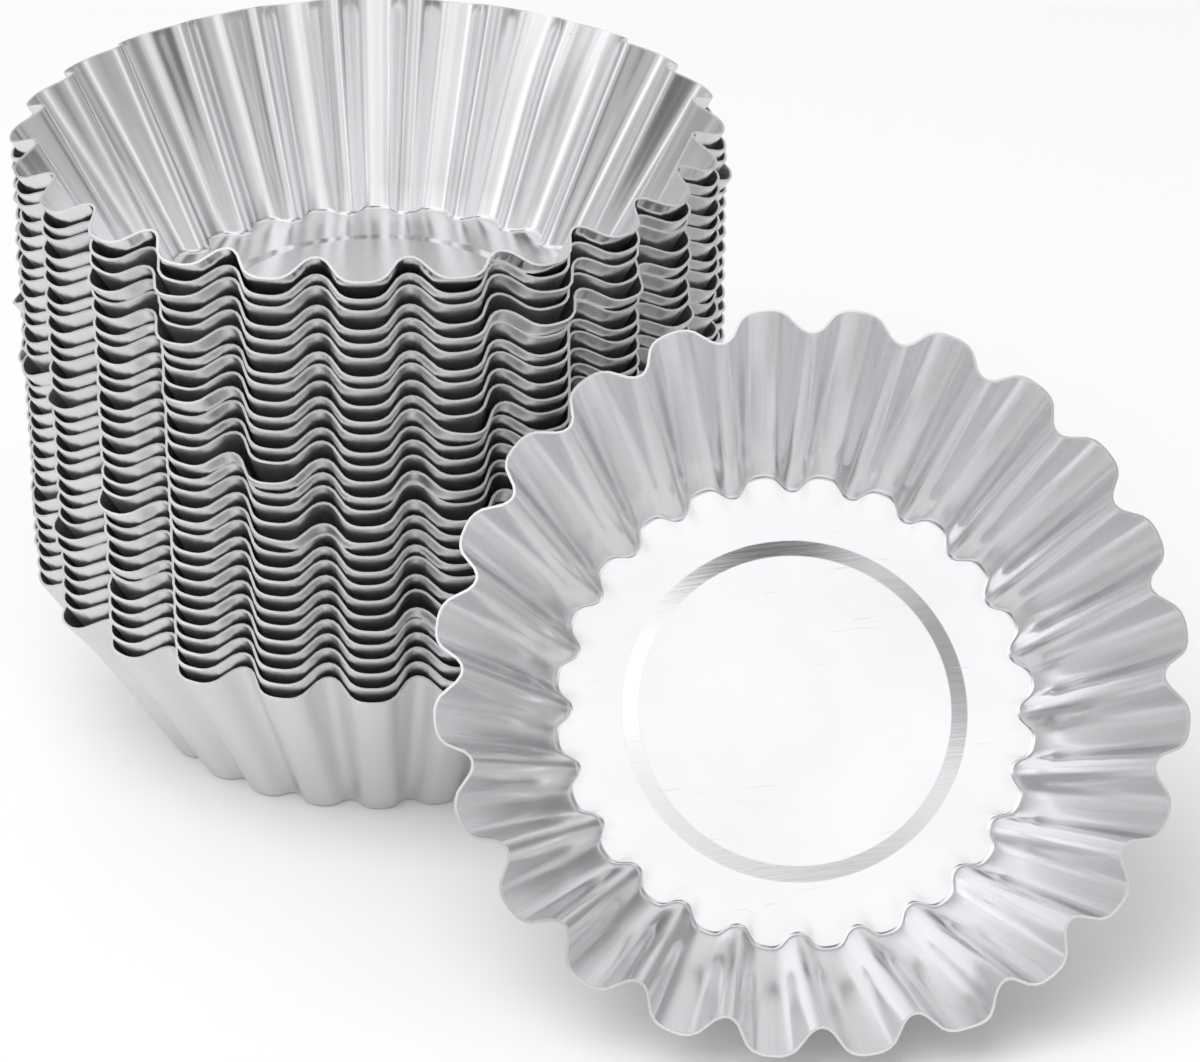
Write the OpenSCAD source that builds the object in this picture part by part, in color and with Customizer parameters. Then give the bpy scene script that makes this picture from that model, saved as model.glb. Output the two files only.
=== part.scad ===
// A set of fluted tart pans: a nested stack standing on its lowest pan, and one loose pan
// leaning back against the front of the stack. Every pan is one pressed sheet of metal.
// Origin: centre of the underside of the lowest pan's floor. +Z up, millimetres.

/* [Pan] */
// Diameter over the flutes at the rim
rim_d = 70; // [62:0.5:86]
// Diameter over the flutes at the floor
floor_d = 47; // [40:0.5:57]
// Height of a pan
pan_h = 19; // [15:0.5:23]
// Number of flutes around the wall
flutes = 24; // [20:1:26]
// Radius in the valleys as a share of the radius over the flutes
valley_share = 0.933; // [0.925:0.001:0.95]
// Radius of a flute's rounded crest at the rim
crest_round = 3.4; // [3:0.1:3.8]
// Thickness of the sheet
sheet_t = 0.25; // [0.2:0.01:0.3]

/* [Floor step] */
// Height of the raised round middle of the floor
step_h = 0.5; // [0.3:0.05:1]
// Foot diameter of the step as a share of the floor's diameter
step_foot_share = 0.714; // [0.6:0.01:0.8]
// Top diameter of the step as a share of the floor's diameter
step_top_share = 0.646; // [0.5:0.01:0.7]

/* [Stack] */
// Number of pans in the nested stack
stack_count = 29; // [3:1:40]
// Mean height that each nested pan stands above the one below
nest_rise = 1.6; // [1.5:0.05:2.5]
// Most that the rise differs from its mean, reached at the top of the stack
rise_spread = 0.45; // [0:0.05:0.45]
// Turn of the whole stack about its axis, in degrees
stack_turn = -3.6; // [-15:0.1:15]

/* [Leaning pan] */
// Lean of the loose pan's axis from upright, in degrees
lean = 50; // [40:1:60]
// Sideways place of the loose pan's floor centre
lean_x = 38.4; // [30:0.1:50]
// Turn of the loose pan about its own axis, in degrees
lean_spin = 4.5; // [-15:0.1:15]
// Clearance between the loose pan and the stack
lean_clear = 0.3; // [0.2:0.05:1]

/* [Hidden] */
// Pans are numbered from the bottom of the stack with two digits
function pan_name(i) = str("stack_pan_", i < 10 ? "0" : "", i);

round_fn = 72;
// Room past both ends of the wall, where the flutes' cones are cut off level
run_out = 2;
// How far each valley's cone is opened past tangency, so that it crosses the crests' cones cleanly
valley_widen = 1.12;
// Turn of successive rises, in degrees, which keeps neighbours from repeating
rise_phase = 137.5;

// All the flutes taper to one point on the pan's axis, this far under the floor
apex_drop = pan_h * floor_d / (rim_d - floor_d);
apex_to_rim = pan_h + apex_drop;
half_pitch = 180 / flutes;
mid_sheet_r = (rim_d - sheet_t) / 2;
crest_tilt = atan(mid_sheet_r / apex_to_rim);
valley_tilt = atan(mid_sheet_r * valley_share / apex_to_rim);
// Half angles and leans of the cones that round the crests and the valleys
crest_half_angle = asin(crest_round * cos(crest_tilt) / apex_to_rim);
crest_axis_tilt = crest_tilt - crest_half_angle;
tangent_half_angle = atan2(
    cos(crest_half_angle) - cos(crest_axis_tilt) * cos(valley_tilt)
        - sin(crest_axis_tilt) * sin(valley_tilt) * cos(half_pitch),
    sin(crest_half_angle) - cos(crest_axis_tilt) * sin(valley_tilt)
        + sin(crest_axis_tilt) * cos(valley_tilt) * cos(half_pitch));
valley_half_angle = tangent_half_angle * valley_widen;
valley_axis_tilt = valley_tilt + valley_half_angle;
core_tilt = (crest_tilt + valley_tilt) / 2;
near_end = apex_drop - run_out;
far_end = (apex_to_rim + run_out) / cos(crest_tilt);

step_foot_r = floor_d * step_foot_share / 2;
step_top_r = floor_d * step_top_share / 2;
step_flare = (step_foot_r - step_top_r) / step_h;

// Rise of stacked pan i over the one below it, and its height above the lowest pan
function rise(i) = nest_rise + rise_spread * sin(rise_phase * i) * i / stack_count;
function stack_z(i) = i <= 1 ? 0 : stack_z(i - 1) + rise(i);

// The loose pan's floor edge or rim touches the ground, whichever reaches lower, and its back rests
// against the stack
lean_z = max(floor_d / 2 * sin(lean), rim_d / 2 * sin(lean) - pan_h * cos(lean));
stack_top = stack_z(stack_count) + pan_h;
lean_samples = 12;
lean_step = 5;
// Radius of the stack's envelope at height z
function stack_r(z) = z > stack_top ? 0
    : (z > pan_h ? rim_d : floor_d + (rim_d - floor_d) * max(z, 0) / pan_h) / 2 + lean_clear;
function pan_r(z) = (floor_d + (rim_d - floor_d) * z / pan_h) / 2;
// Where the loose pan must stand so that the point (r, a, z) of its surface clears the stack
function clear_y(r, a, z) =
    let (
        x = lean_x + r * cos(a),
        y = r * sin(a) * cos(lean) - z * sin(lean),
        up = lean_z + r * sin(a) * sin(lean) + z * cos(lean),
        reach = stack_r(up)
    )
    abs(x) < reach ? -sqrt(reach * reach - x * x) - y : 0;
lean_y = min([
    for (k = [0 : lean_samples], a = [0 : lean_step : 360 - lean_step])
        let (z = pan_h * k / lean_samples)
        min(clear_y(pan_r(z), a, z), clear_y(floor_d / 2 * k / lean_samples, a, 0))
]);

// A solid cone from the common point, leaning by axis_tilt, and grown by grow across its surface
module flute_cone(axis_tilt, half_angle, grow) {
    translate([0, 0, -apex_drop]) rotate([0, axis_tilt, 0]) translate([0, 0, near_end])
        cylinder(
            h = far_end - near_end,
            r1 = near_end * tan(half_angle) + grow / cos(half_angle),
            r2 = far_end * tan(half_angle) + grow / cos(half_angle),
            $fn = round_fn);
}

// The fluted cone that the wall follows, grown or shrunk by grow
module fluted_cone(grow) {
    difference() {
        union() {
            flute_cone(0, core_tilt, grow);
            for (i = [0 : flutes - 1]) rotate([0, 0, 2 * half_pitch * i])
                flute_cone(crest_axis_tilt, crest_half_angle, grow);
        }
        for (i = [0 : flutes - 1]) rotate([0, 0, 2 * half_pitch * (i + 1 / 2)])
            flute_cone(valley_axis_tilt, valley_half_angle, -grow);
    }
}

// The raised middle of the floor as a solid, standing from z down to any depth under its foot
module step_plug(z, depth) {
    translate([0, 0, z - depth])
        cylinder(h = depth + step_h, r1 = step_foot_r + step_flare * depth, r2 = step_top_r, $fn = round_fn);
}

// One pan standing on its floor: the sheet between an outer and an inner fluted cone
module pan_shell() {
    difference() {
        intersection() {
            cylinder(h = pan_h, d = rim_d + run_out);
            fluted_cone(sheet_t / 2);
        }
        difference() {
            intersection() {
                translate([0, 0, sheet_t]) cylinder(h = pan_h, d = rim_d + run_out);
                fluted_cone(-sheet_t / 2);
            }
            step_plug(sheet_t, sheet_t);
        }
        step_plug(0, step_h);
    }
}

module stack_pan(i) {
    color("silver") translate([0, 0, stack_z(i)]) rotate([0, 0, stack_turn]) pan_shell();
}

module leaning_pan() {
    color("gainsboro") translate([lean_x, lean_y, lean_z]) rotate([lean, 0, 0]) rotate([0, 0, lean_spin])
        pan_shell();
}

for (i = [1 : stack_count]) stack_pan(i);
leaning_pan();
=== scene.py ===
import math
import random

import bmesh
import bpy
import numpy as np
from mathutils import Matrix, Vector


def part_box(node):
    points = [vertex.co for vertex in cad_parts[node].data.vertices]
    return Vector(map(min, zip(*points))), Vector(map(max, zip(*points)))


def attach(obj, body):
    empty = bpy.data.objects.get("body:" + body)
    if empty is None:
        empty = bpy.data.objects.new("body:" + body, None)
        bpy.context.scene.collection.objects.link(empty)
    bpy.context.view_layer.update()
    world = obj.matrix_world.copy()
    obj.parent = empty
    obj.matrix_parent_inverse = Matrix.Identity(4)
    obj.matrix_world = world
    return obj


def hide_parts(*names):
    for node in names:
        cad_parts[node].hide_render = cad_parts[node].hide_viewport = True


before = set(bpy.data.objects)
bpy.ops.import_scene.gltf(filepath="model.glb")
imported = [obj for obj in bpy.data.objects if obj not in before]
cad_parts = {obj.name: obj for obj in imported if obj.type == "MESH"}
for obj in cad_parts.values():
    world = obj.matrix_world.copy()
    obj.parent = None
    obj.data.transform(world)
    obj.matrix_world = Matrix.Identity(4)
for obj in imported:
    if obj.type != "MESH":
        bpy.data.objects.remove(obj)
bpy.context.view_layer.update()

# ---------------------------------------------------------------------------------------------
# The pressed blank. A thin disc of bright aluminium sheet is drawn over a fluted punch in one
# stroke, which raises the middle of the floor, folds the wall into flutes and leaves a cut rim.
# Sizes are in metres, as in every section below.
MM = 0.001
SHEET = 0.25 * MM
PAN_HEIGHT = 19 * MM
RIM_RADIUS = 35 * MM
FLOOR_RADIUS = 23.5 * MM
STEP_FOOT_RADIUS = 0.714 * FLOOR_RADIUS
STEP_TOP_RADIUS = 0.646 * FLOOR_RADIUS
STEP_HEIGHT = 0.3 * MM
BEND_RADIUS = 0.9 * MM
BEND_STEPS = 4

# The flutes: how deep the valleys are as a share of the radius, how much deeper they get towards
# the rim, and how high the wall stands above the rim's level in a valley
FLUTES = 24
VALLEY_SHARE = 0.933
DEEPENING = 0.48
VALLEY_SHARPNESS = 1.4
CREST_ROUND = 3.4 * MM
RIM_WAVE = 1.25 * MM
STEPS_PER_FLUTE = 16

# The flutes' crests and valleys are cones with one common point on the pan's axis, and they touch
# along a seam. Halves are the cones' half angles, and axes lean by their angle from the pan's own.
HALF_PITCH = math.pi / FLUTES
SHEET_RADIUS = RIM_RADIUS - SHEET / 2
APEX_TO_RIM = PAN_HEIGHT * RIM_RADIUS / (RIM_RADIUS - FLOOR_RADIUS)
CREST_TILT = math.atan(SHEET_RADIUS / APEX_TO_RIM)
VALLEY_TILT = math.atan(SHEET_RADIUS * VALLEY_SHARE / APEX_TO_RIM)
CREST_HALF = math.asin(CREST_ROUND * math.cos(CREST_TILT) / APEX_TO_RIM)
CREST_AXIS = CREST_TILT - CREST_HALF
VALLEY_HALF = math.atan2(
    math.cos(CREST_HALF)
    - math.cos(CREST_AXIS) * math.cos(VALLEY_TILT)
    - math.sin(CREST_AXIS) * math.sin(VALLEY_TILT) * math.cos(HALF_PITCH),
    math.sin(CREST_HALF)
    - math.cos(CREST_AXIS) * math.sin(VALLEY_TILT)
    + math.sin(CREST_AXIS) * math.cos(VALLEY_TILT) * math.cos(HALF_PITCH),
)
VALLEY_AXIS = VALLEY_TILT + VALLEY_HALF
SEAM_TURN = math.atan2(
    math.sin(CREST_HALF) * math.sin(VALLEY_AXIS) * math.sin(HALF_PITCH),
    math.sin(VALLEY_HALF) * math.sin(CREST_AXIS)
    + math.sin(CREST_HALF) * math.sin(VALLEY_AXIS) * math.cos(HALF_PITCH),
)


def flute_share(turn):
    """The wall's radius at this angle from a crest, as a share of its radius over the crests."""
    off = abs((turn + HALF_PITCH) % (2 * HALF_PITCH) - HALF_PITCH)
    if off <= SEAM_TURN:
        axis, half, side = CREST_AXIS, CREST_HALF, 1
    else:
        axis, half, side, off = VALLEY_AXIS, VALLEY_HALF, -1, HALF_PITCH - off
    up, out = math.cos(axis), math.sin(axis) * math.cos(off)
    tilt = math.atan2(out, up) + side * math.acos(min(1, math.cos(half) / math.hypot(up, out)))
    return math.tan(tilt) / math.tan(CREST_TILT)


def smooth(low, high, value):
    """0 below low, 1 above high and a soft curve between them."""
    t = min(max((value - low) / (high - low), 0), 1)
    return t * t * (3 - 2 * t)


def rounded(corners, radius, steps):
    """The line through corners, with an arc of the given radius in place of each inner one."""
    line = [corners[0]]
    for before, at, after in zip(corners, corners[1:], corners[2:]):
        a, b = (before - at).normalized(), (after - at).normalized()
        half = a.angle(b) / 2
        centre = at + (a + b).normalized() * radius / math.sin(half)
        start, end = (at + way * radius / math.tan(half) - centre for way in (a, b))
        turn = start.angle_signed(end)
        for k in range(steps + 1):
            line.append(centre + Matrix.Rotation(-turn * k / steps, 2) @ start)
    return [*line, corners[-1]]


def sheet_line():
    """The middle of the sheet from the floor's centre out to the rim, over a crest."""
    level = SHEET / 2
    floor_edge = SHEET_RADIUS * (1 - (PAN_HEIGHT - level) / APEX_TO_RIM)
    corners = [
        Vector((0, level + STEP_HEIGHT)),
        Vector((STEP_TOP_RADIUS, level + STEP_HEIGHT)),
        Vector((STEP_FOOT_RADIUS, level)),
        Vector((floor_edge, level)),
        Vector((SHEET_RADIUS, PAN_HEIGHT)),
    ]
    line = rounded(corners, BEND_RADIUS, BEND_STEPS)
    # The straight runs are cut into parts, the last run first, so that the places before it hold
    floor_middle, floor_ring, wall = 0, 2 * (BEND_STEPS + 1), len(line) - 2
    for start, parts in ((wall, 8), (floor_ring, 2), (floor_middle, 3)):
        a, b = line[start], line[start + 1]
        line[start + 1:start + 1] = [a.lerp(b, k / parts) for k in range(1, parts)]
    return line


def drawn_sheet():
    """The plain pressing about its own axis, its floor's underside at zero and a crest along +X.
    around runs seamlessly round and up the sheet, and flat is the blank's own flat pattern.
    The rim isn't trimmed: in the valleys the wall runs in a shorter line, so it stands higher."""
    line = sheet_line()
    radii = [p.x for p in line]
    run = [0]
    for a, b in zip(line, line[1:]):
        run.append(run[-1] + (b - a).length)
    bm = bmesh.new()
    verts = [bm.verts.new((p.x, 0, p.y)) for p in line]
    edges = [bm.edges.new(pair) for pair in zip(verts, verts[1:])]
    bmesh.ops.spin(
        bm, geom=verts + edges, cent=(0, 0, 0), axis=(0, 0, 1), angle=math.tau,
        steps=FLUTES * STEPS_PER_FLUTE, use_merge=True,
    )
    bmesh.ops.remove_doubles(bm, verts=bm.verts, dist=SHEET / 50)
    bmesh.ops.recalc_face_normals(bm, faces=bm.faces)
    around = bm.verts.layers.float_vector.new("around")
    flat = bm.verts.layers.float_vector.new("flat")
    for v in bm.verts:
        radius, turn = math.hypot(v.co.x, v.co.y), math.atan2(v.co.y, v.co.x)
        up_sheet = float(np.interp(radius, radii, run)) / run[-1]
        v[around] = (math.cos(turn), math.sin(turn), up_sheet)
        v[flat] = v.co / RIM_RADIUS
        fold = smooth(STEP_FOOT_RADIUS + MM, FLOOR_RADIUS - MM, radius)
        dip = fold * max(0, (1 - flute_share(turn)) / (1 - VALLEY_SHARE)) ** VALLEY_SHARPNESS
        up_wall = v.co.z / PAN_HEIGHT
        v.co.xy *= 1 - (1 - VALLEY_SHARE) * dip * (1 + DEEPENING * up_wall)
        rise = RIM_WAVE * dip * up_wall
        v.co.xy *= 1 + rise / (v.co.z + APEX_TO_RIM - PAN_HEIGHT)
        v.co.z += rise
    bm.normal_update()
    for v in bm.verts:
        v.co += v.normal * SHEET / 2
    bmesh.ops.solidify(bm, geom=bm.faces[:], thickness=SHEET)
    # The cut edge stays crisp: its faces are the only ones with every corner at the rim
    at_rim = 0.999
    cut_edge = {face for face in bm.faces if all(v[around].z > at_rim for v in face.verts)}
    for face in bm.faces:
        face.smooth = True
    for edge in bm.edges:
        edge.smooth = len(cut_edge.intersection(edge.link_faces)) != 1
    mesh = bpy.data.meshes.new("drawn_sheet")
    bm.to_mesh(mesh)
    bm.free()
    return mesh


# The rim springs open a little off the punch, and wanders in a few slow waves
RIM_FLARE = 0.4 * MM
SLOW_WAVES = (2, 3, 5, 7)
UP_SHARE = 0.6


def handled(sheet, seed, warp, bends):
    """A copy of the pressing as handling has left it: warp is how far its rim wanders, and bends
    are the (turn, width, start, out, up) of its bent places, start being the height they begin at."""
    rng = random.Random(seed)
    mesh = sheet.copy()
    places = np.empty(len(mesh.vertices) * 3)
    mesh.vertices.foreach_get("co", places)
    x, y, z = places.reshape(-1, 3).T
    radius, turn = np.hypot(x, y), np.arctan2(y, x)
    height = np.clip(z - STEP_HEIGHT - SHEET, 0, None) / PAN_HEIGHT
    drift = sum(
        rng.uniform(-1, 1) / waves * np.sin(waves * turn + rng.uniform(0, math.tau)) for waves in SLOW_WAVES
    )
    out = (warp * drift + RIM_FLARE * height) * height
    up = UP_SHARE * warp * drift * height**2
    for bent_turn, width, start, bent_out, bent_up in bends:
        away = (turn - bent_turn + math.pi) % math.tau - math.pi
        near = np.exp(-((away / width) ** 2)) * np.clip((height - start) / (1 - start), 0, 1) ** 2
        out, up = out + bent_out * near, up + bent_up * near
    stretch = 1 + out / np.maximum(radius, MM)
    mesh.vertices.foreach_set("co", np.column_stack((x * stretch, y * stretch, z + up)).ravel())
    return mesh


# ---------------------------------------------------------------------------------------------
# The finish. The sheet is bare, bright-rolled aluminium: drawing leaves soft streaks up the
# flutes, the floor keeps the roll's fine straight lines, and handling adds hairline scratches.
class Socket:
    """A node's output, or a number, that takes part in Python arithmetic."""

    def __init__(self, nodes, value):
        self.nodes, self.value = nodes, value

    def maths(self, operation, other):
        return self.nodes.add("ShaderNodeMath", {"operation": operation}, [self, other])

    def __add__(self, other):
        return self.maths("ADD", other)

    def __sub__(self, other):
        return self.maths("SUBTRACT", other)

    def __rsub__(self, other):
        return Socket(self.nodes, other).maths("SUBTRACT", self)

    def __mul__(self, other):
        return self.maths("MULTIPLY", other)

    __radd__, __rmul__ = __add__, __mul__


class Nodes:
    """The nodes of one material or world."""

    def __init__(self, owner):
        owner.use_nodes = True
        self.tree = owner.node_tree
        self.tree.nodes.clear()

    def add(self, kind, settings=(), inputs=(), output=0):
        """A node with its settings made first, then its sockets' values or links, by place or by name."""
        node = self.tree.nodes.new(kind)
        for name, value in dict(settings).items():
            setattr(node, name, value)
        named = inputs.items() if isinstance(inputs, dict) else enumerate(inputs)
        for name, value in named:
            value = value.value if isinstance(value, Socket) else value
            if isinstance(value, bpy.types.NodeSocket):
                self.tree.links.new(value, node.inputs[name])
            else:
                node.inputs[name].default_value = value
        return Socket(self, node.outputs[output]) if node.outputs else None

    def attribute(self, name, shift):
        """A pattern's place on the sheet, moved on by shift."""
        place = self.add("ShaderNodeAttribute", {"attribute_name": name}, output="Vector")
        return self.add("ShaderNodeVectorMath", {"operation": "ADD"}, [place, shift])

    def noise(self, place, scale, detail, roughness, stretch=(1, 1, 1), distortion=0):
        drawn_out = self.add("ShaderNodeVectorMath", {"operation": "MULTIPLY"}, [place, stretch])
        sockets = {"Vector": drawn_out, "Scale": scale, "Detail": detail, "Roughness": roughness}
        return self.add("ShaderNodeTexNoise", {}, {**sockets, "Distortion": distortion})

    def ranged(self, value, low, high, to_low=0, to_high=1):
        return self.add(
            "ShaderNodeMapRange", {"interpolation_type": "SMOOTHSTEP"}, [value, low, high, to_low, to_high]
        )

    def surface(self, **sockets):
        """The owner's whole surface, with sockets named as Base_Color."""
        named = {name.replace("_", " "): value for name, value in sockets.items()}
        self.add("ShaderNodeOutputMaterial", {}, [self.add("ShaderNodeBsdfPrincipled", {}, named)])


def bright_sheet(name, offset, tone, satin):
    """Pressed aluminium. offset moves the patterns on, so that no two pans look alike."""
    material = bpy.data.materials.new(name)
    nodes = Nodes(material)
    around = nodes.attribute("around", (offset, 0, 0))
    flat = nodes.attribute("flat", (0, offset, 0))
    up_sheet = nodes.add("ShaderNodeSeparateXYZ", {}, [around], "Z")
    wall = nodes.ranged(up_sheet, 0.5, 0.56)
    rim = nodes.ranged(up_sheet, 0.995, 1)
    streaks = nodes.noise(around, scale=38, detail=4, roughness=0.6, stretch=(1, 1, 0.05))
    fine_streaks = nodes.noise(around, scale=160, detail=2, roughness=0.5, stretch=(1, 1, 0.03))
    rolled = nodes.noise(flat, scale=3, detail=4, roughness=0.65, stretch=(1.4, 30, 1))
    dull = nodes.noise(flat, scale=2.2, detail=4, roughness=0.55)
    hairlines = nodes.noise(flat, scale=5, detail=2, roughness=0.5, stretch=(0.6, 9, 1), distortion=0.8)
    scratches = nodes.ranged(hairlines, 0.7, 0.74) * (1 - wall)
    grain = streaks * wall + rolled * (1 - wall)
    # The cut edge at the rim is painted lighter, a painted highlight along the rim, and it is also made
    # rougher
    shade = tone + 0.06 * grain - 0.08 * dull + 0.12 * rim - 0.025 * scratches
    relief = grain + 0.4 * fine_streaks * wall - 0.3 * scratches
    nodes.surface(
        Base_Color=nodes.add("ShaderNodeCombineColor", {}, [shade, shade, shade * 1.006]),
        Metallic=1.0,
        Roughness=satin + 0.1 * grain + 0.08 * dull + 0.04 * scratches + 0.25 * rim,
        Normal=nodes.add(
            "ShaderNodeBump", {}, {"Strength": 0.25, "Distance": 0.05 * MM, "Height": relief}
        ),
    )
    return material


# ---------------------------------------------------------------------------------------------
# The nested stack. Each pan drops into the one below until their flutes meet, and only its rim
# stands proud. Handling has left each one with a few flutes bent a little at the rim.
STACK_TURN = math.radians(-3.6)
STACK_WARP = 0.1 * MM
STACK_TONE, TONE_SPREAD = 0.88, 0.03
STACK_SATIN, TOP_SATIN = 0.25, 0.12
PATTERN_STEP = 1.37

# The bends: how many a pan has, where up the wall they begin, and the least and most of their
# width in half pitches and of how far they go out and up in millimetres
BENDS_A_PAN = (3, 4, 5, 6)
BEND_START = 0.6
BEND_WIDTH = (0.7, 1.5)
BEND_OUT = (-0.5, 1)
BEND_UP = (-0.6, 0.5)


def finished(mesh, name, place, material, node, body):
    """The sheet put in its place, as a piece that stands for its CAD node."""
    mesh.name = name
    mesh.transform(place)
    mesh.materials.append(material)
    piece = bpy.data.objects.new(name, mesh)
    bpy.context.collection.objects.link(piece)
    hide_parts(node)
    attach(piece, body)


plain = drawn_sheet()
stacked = sorted(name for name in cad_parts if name.startswith("stack_pan_"))
dice = random.Random(7)
for number, node in enumerate(stacked, 1):
    bends = [
        (
            dice.uniform(0, math.tau), dice.uniform(*BEND_WIDTH) * HALF_PITCH, BEND_START,
            dice.uniform(*BEND_OUT) * MM, dice.uniform(*BEND_UP) * MM,
        )
        for _ in range(dice.choice(BENDS_A_PAN))
    ]
    tone = STACK_TONE + dice.uniform(-TONE_SPREAD, TONE_SPREAD)
    satin = TOP_SATIN if number == len(stacked) else STACK_SATIN
    finish = bright_sheet(f"pressed_sheet_{number:02d}", number * PATTERN_STEP, tone, satin)
    pan = handled(plain, number, STACK_WARP, bends)
    place = Matrix.Translation((0, 0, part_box(node)[0][2])) @ Matrix.Rotation(STACK_TURN, 4, "Z")
    finished(pan, f"nested_pan_{number:02d}", place, finish, node, f"pan_{number:02d}")

# ---------------------------------------------------------------------------------------------
# The loose pan. It is the same pressing, taken off the stack and leant back against its front,
# so that it stands on its floor's edge and opens forwards. One side of it is pulled open a
# little, and one flute has a nick at the rim.
LEAN = math.radians(50)
LEAN_SPIN = math.radians(4.5)
LEAN_X = 38.4 * MM
LOOSE_WARP = 0.12 * MM
NICK = (math.radians(-65.3) - LEAN_SPIN, 0.5 * HALF_PITCH, 0.8, 0.9 * MM, -0.3 * MM)
OPENED_SIDE = (math.radians(225) - LEAN_SPIN, math.radians(50), 0, 0.9 * MM, 0)

# The floor's lowest point stands on the ground, and the foremost point is the rim's lowest
lean_foot = FLOOR_RADIUS * math.sin(LEAN)
lean_front = -RIM_RADIUS * math.cos(LEAN) - PAN_HEIGHT * math.sin(LEAN)
lean_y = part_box("leaning_pan")[0][1] - lean_front
lean_turned = Matrix.Rotation(LEAN, 4, "X") @ Matrix.Rotation(LEAN_SPIN, 4, "Z")
finished(
    handled(plain, seed=101, warp=LOOSE_WARP, bends=[NICK, OPENED_SIDE]), "loose_pan",
    Matrix.Translation((LEAN_X, lean_y, lean_foot)) @ lean_turned,
    bright_sheet("loose_sheet_metal", offset=50.3, tone=0.9, satin=0.1),
    "leaning_pan", "leaning",
)

# ---------------------------------------------------------------------------------------------
# The table. It is a wide pale matt top that the stack and the loose pan stand on. What the metal
# mirrors of it is painted a shade greyer than the top itself, as painted shade in the reflections,
# and it has a faint painted glow, just enough to look white.
TABLE_RADIUS = 1.5
TABLE_PALE = (0.86, 0.86, 0.86, 1)
TABLE_MIRRORED_PAINTED_SHADE = (0.68, 0.68, 0.68, 1)
TABLE_GLOW = 0.08
MATT = 0.9
WHITE = (1, 1, 1, 1)


def mixed(nodes, share, low, high):
    """A colour from low to high by share. A mix's colours come behind its numbers and vectors."""
    low_place, high_place, result_place = 6, 7, 2
    sockets = {0: share, low_place: low, high_place: high}
    return nodes.add("ShaderNodeMix", {"data_type": "RGBA"}, sockets, result_place)


def laid_down(bm, name, material):
    """A flat piece of the setting, made of the bmesh's faces."""
    mesh = bpy.data.meshes.new(name)
    bm.to_mesh(mesh)
    bm.free()
    mesh.materials.append(material)
    piece = bpy.data.objects.new(name, mesh)
    bpy.context.collection.objects.link(piece)
    return piece


table = bmesh.new()
bmesh.ops.create_circle(table, cap_ends=True, segments=64, radius=TABLE_RADIUS)
table_paint = bpy.data.materials.new("pale_floor")
table_nodes = Nodes(table_paint)
# Seen in the metal, the table is painted darker, as painted shade in its reflections, and it has a faint
# painted glow
in_metal = table_nodes.add("ShaderNodeLightPath", {}, [], "Is Glossy Ray")
table_nodes.surface(
    Base_Color=mixed(table_nodes, in_metal, TABLE_PALE, TABLE_MIRRORED_PAINTED_SHADE),
    Roughness=MATT,
    Emission_Color=WHITE,
    Emission_Strength=TABLE_GLOW,
)
laid_down(table, "ground", table_paint)

# ---------------------------------------------------------------------------------------------
# The black card. It is a sheet of matt black card, laid on the table in front and to the left.
# Only the metal mirrors it, which gives the flutes their dark sides.
CARD_PLACE = Matrix.Translation((-0.11, -0.17, 0.001))
CARD_HALF_SIZE = Matrix.Diagonal((0.09, 0.07, 1, 1))

card = bmesh.new()
bmesh.ops.create_grid(card, x_segments=1, y_segments=1, size=1)
bmesh.ops.transform(card, matrix=CARD_PLACE @ CARD_HALF_SIZE, verts=card.verts)
card_paint = bpy.data.materials.new("black_card")
Nodes(card_paint).surface(Base_Color=(0.02, 0.02, 0.025, 1), Roughness=MATT)
card_piece = laid_down(card, "black_card", card_paint)
card_piece.visible_camera = card_piece.visible_diffuse = card_piece.visible_shadow = False

# ---------------------------------------------------------------------------------------------
# The studio. Grey walls and a pale ceiling stand round the table, with soft bright panels and
# dark flags between them for the metal to mirror. Seen past the table, all of it is plain white.
HORIZON, OVERHEAD = 0.42, 0.86
WALL_FOOT, CEILING = 0.05, 0.85
MOTTLE_LEAST, MOTTLE_SPAN = 0.55, 0.9
COOLNESS = 1.02

# Each panel or flag: its turn from the front and its height, its half width and its soft edge, in
# degrees, and the light that it adds, or the share of the light that it takes away
PANELS = [
    (-6, 48, 16, 10, 0.3),
    (-80, 60, 20, 20, 0.25),
    (-75, 28, 9, 7, 0.55),
    (38, 24, 8, 6, 0.5),
    (170, 35, 12, 10, 0.25),
    (150, 8, 10, 8, 0.25),
]
FLAGS = [
    (15, 76, 8, 8, 0.93),
    (48, 48, 8, 7, 0.6),
    (88, 42, 13, 10, 0.65),
    (130, 24, 15, 10, 0.7),
    (-32, 14, 9, 7, 0.7),
    (-145, 18, 12, 9, 0.6),
    (10, 5, 8, 7, 0.6),
    (75, 5, 10, 7, 0.6),
]

world = bpy.data.worlds.new("studio")
bpy.context.scene.world = world
studio = Nodes(world)
way = studio.add("ShaderNodeTexCoord", {}, [], "Generated")


def patch(turn, height, half_width, edge):
    """1 towards a direction, falling to 0 over the edge."""
    turn, height = math.radians(turn), math.radians(height)
    aim = (math.cos(height) * math.sin(turn), -math.cos(height) * math.cos(turn), math.sin(height))
    facing = studio.add("ShaderNodeVectorMath", {"operation": "DOT_PRODUCT"}, [way, aim], "Value")
    return studio.ranged(
        facing, math.cos(math.radians(half_width + edge)), math.cos(math.radians(half_width - edge / 2))
    )


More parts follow.
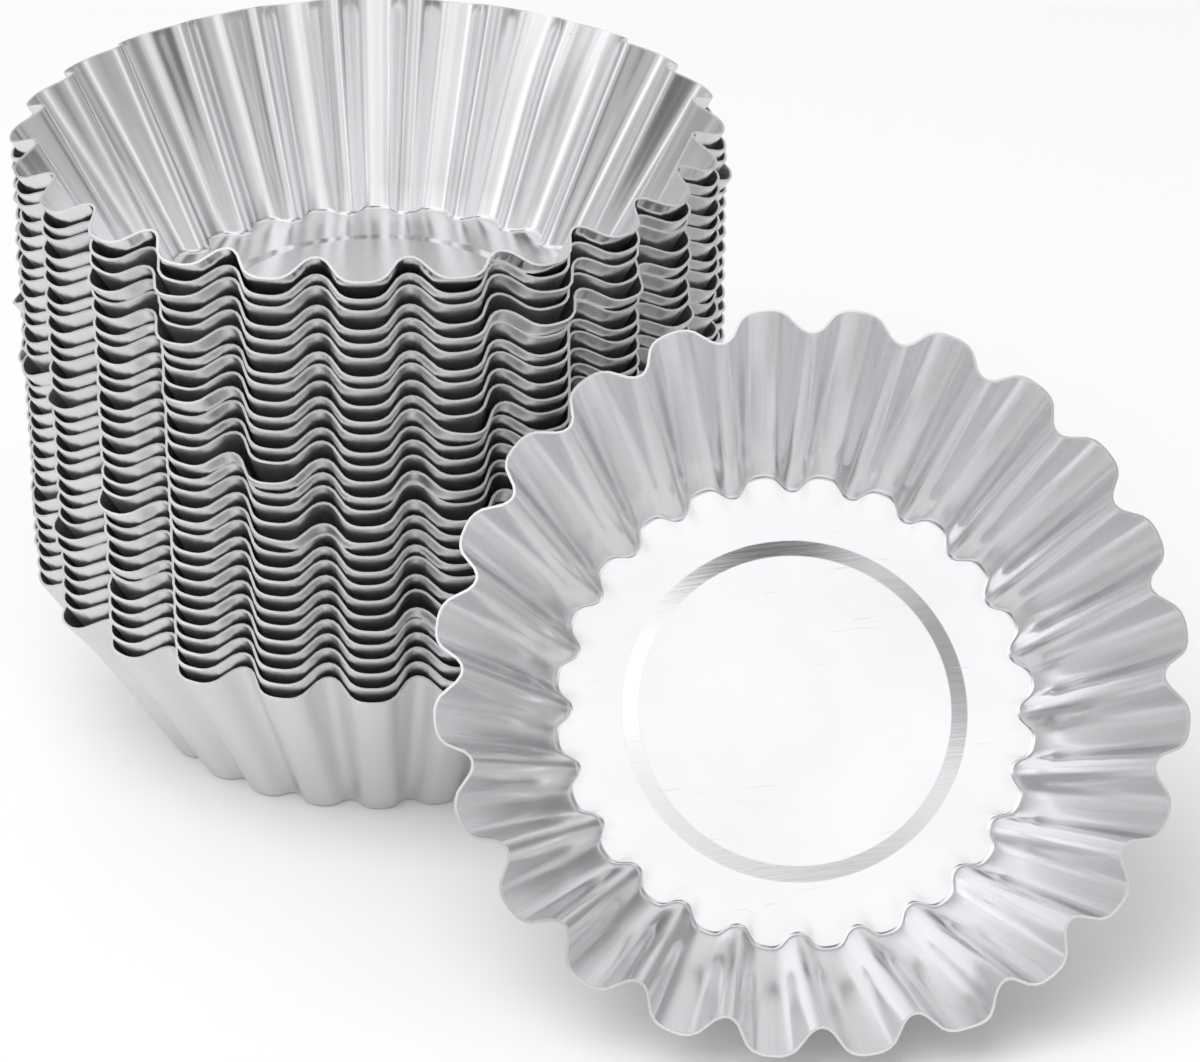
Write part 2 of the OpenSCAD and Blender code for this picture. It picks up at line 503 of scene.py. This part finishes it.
height = studio.add("ShaderNodeSeparateXYZ", {}, [way], "Z")
level = studio.ranged(height, WALL_FOOT, CEILING, HORIZON, OVERHEAD)
for turn, up, half_width, edge, strength in PANELS:
    level = patch(turn, up, half_width, edge) * strength + level
for turn, up, half_width, edge, depth in FLAGS:
    level = level * (1 - patch(turn, up, half_width, edge) * depth)
level = level * (MOTTLE_LEAST + MOTTLE_SPAN * studio.noise(way, scale=3.2, detail=3, roughness=0.6))
mirrored = studio.add("ShaderNodeCombineColor", {}, [level, level, level * COOLNESS])
seen = studio.add("ShaderNodeLightPath", {}, [], "Is Camera Ray")
backdrop = studio.add("ShaderNodeBackground", {}, [mixed(studio, seen, mirrored, WHITE), 1.0])
studio.add("ShaderNodeOutputWorld", {}, [backdrop])

# ---------------------------------------------------------------------------------------------
# The lamp. One wide round soft light hangs above the table, to the front and left, and throws
# the pale shadows. The metal doesn't mirror it.
LAMP_PLACE = Vector((-0.25, -0.35, 0.8))
LAMP_WIDTH = 0.8
LAMP_WATTS = 4.0

lamp_data = bpy.data.lights.new("soft_overhead", "AREA")
lamp_data.shape = "DISK"
lamp_data.size = LAMP_WIDTH
lamp_data.energy = LAMP_WATTS
lamp = bpy.data.objects.new("soft_overhead", lamp_data)
lamp.location = LAMP_PLACE
lamp.rotation_euler = (-LAMP_PLACE).to_track_quat("-Z", "Y").to_euler()
lamp.visible_glossy = False
bpy.context.collection.objects.link(lamp)

# ---------------------------------------------------------------------------------------------
# The camera. It looks down on the set from the front through a long lens, turned a little to
# the right, so that the loose pan's floor faces it almost squarely.
EYE = Vector((-15.82, -450, 256.6)) * MM
SIGHT = Vector((0.07569, 0.8811, -0.46683))
HEAD_UP = Vector((0.04174, 0.46496, 0.88435))
LENS_MM = 148.3
SENSOR_MM = 36

lens = bpy.data.cameras.new("camera")
lens.lens = LENS_MM
lens.sensor_width = SENSOR_MM
lens.clip_start = 10 * MM
camera = bpy.data.objects.new("camera", lens)
head = Matrix((SIGHT.cross(HEAD_UP).normalized(), HEAD_UP, -SIGHT)).transposed()
camera.matrix_world = Matrix.Translation(EYE) @ head.to_4x4()
bpy.context.collection.objects.link(camera)
bpy.context.scene.camera = camera
bpy.context.scene.view_settings.view_transform = "Standard"
